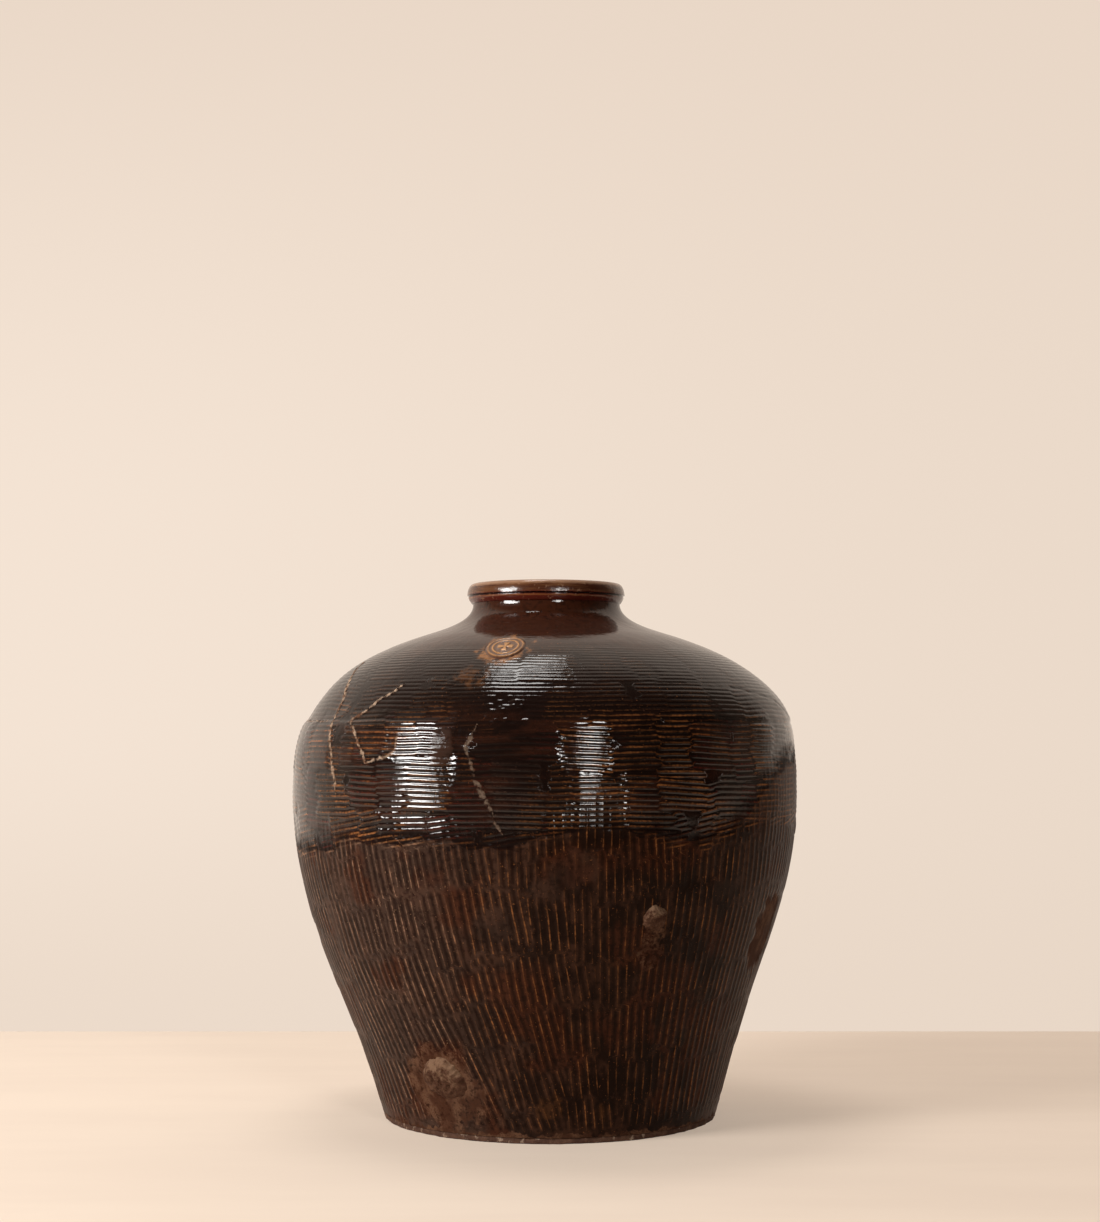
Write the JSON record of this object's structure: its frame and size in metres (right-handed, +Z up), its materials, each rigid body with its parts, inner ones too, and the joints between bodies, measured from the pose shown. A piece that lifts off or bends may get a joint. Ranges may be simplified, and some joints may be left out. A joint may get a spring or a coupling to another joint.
{
  "type": "glazed stoneware storage jar",
  "caption": "Wide-shouldered stoneware storage jar with a short neck and rolled lip, glossy brown-black glaze over paddled ridges above and a satin ribbed lower wall.",
  "frame": {"origin": "centre of the belly's widest circle, at the height of the ground under the foot", "axes": "+Z up along the jar's axis, -Y towards the front, where the tablet and the wads are"},
  "size_m": [0.45, 0.45, 0.471],
  "materials": {
    "bare_clay": "rough unglazed red-brown stoneware",
    "lower_glaze": "satin brown slip glaze breaking to amber on the ribs",
    "upper_glaze": "glossy brown-black glaze breaking to red-brown on the ridges",
    "dome_glaze": "glossy brown-black glaze",
    "collar_glaze": "glossy dark brown glaze",
    "lip_glaze": "glossy caramel-brown glaze, thin on the roll",
    "tablet_glaze": "thin ochre glaze on a raised clay pad",
    "low_wad_clay": "rough fired clay",
    "high_wad_clay": "rough fired clay"
  },
  "bodies": {
    "root": {"foot_slab": "bare_clay", "lower_wall": "lower_glaze", "belly_wall": "upper_glaze", "shoulder_dome": "dome_glaze", "neck_collar": "collar_glaze", "rolled_lip": "lip_glaze", "seal_tablet": "tablet_glaze", "low_kiln_wad": "low_wad_clay", "high_kiln_wad": "high_wad_clay"}
  },
  "joints": []
}
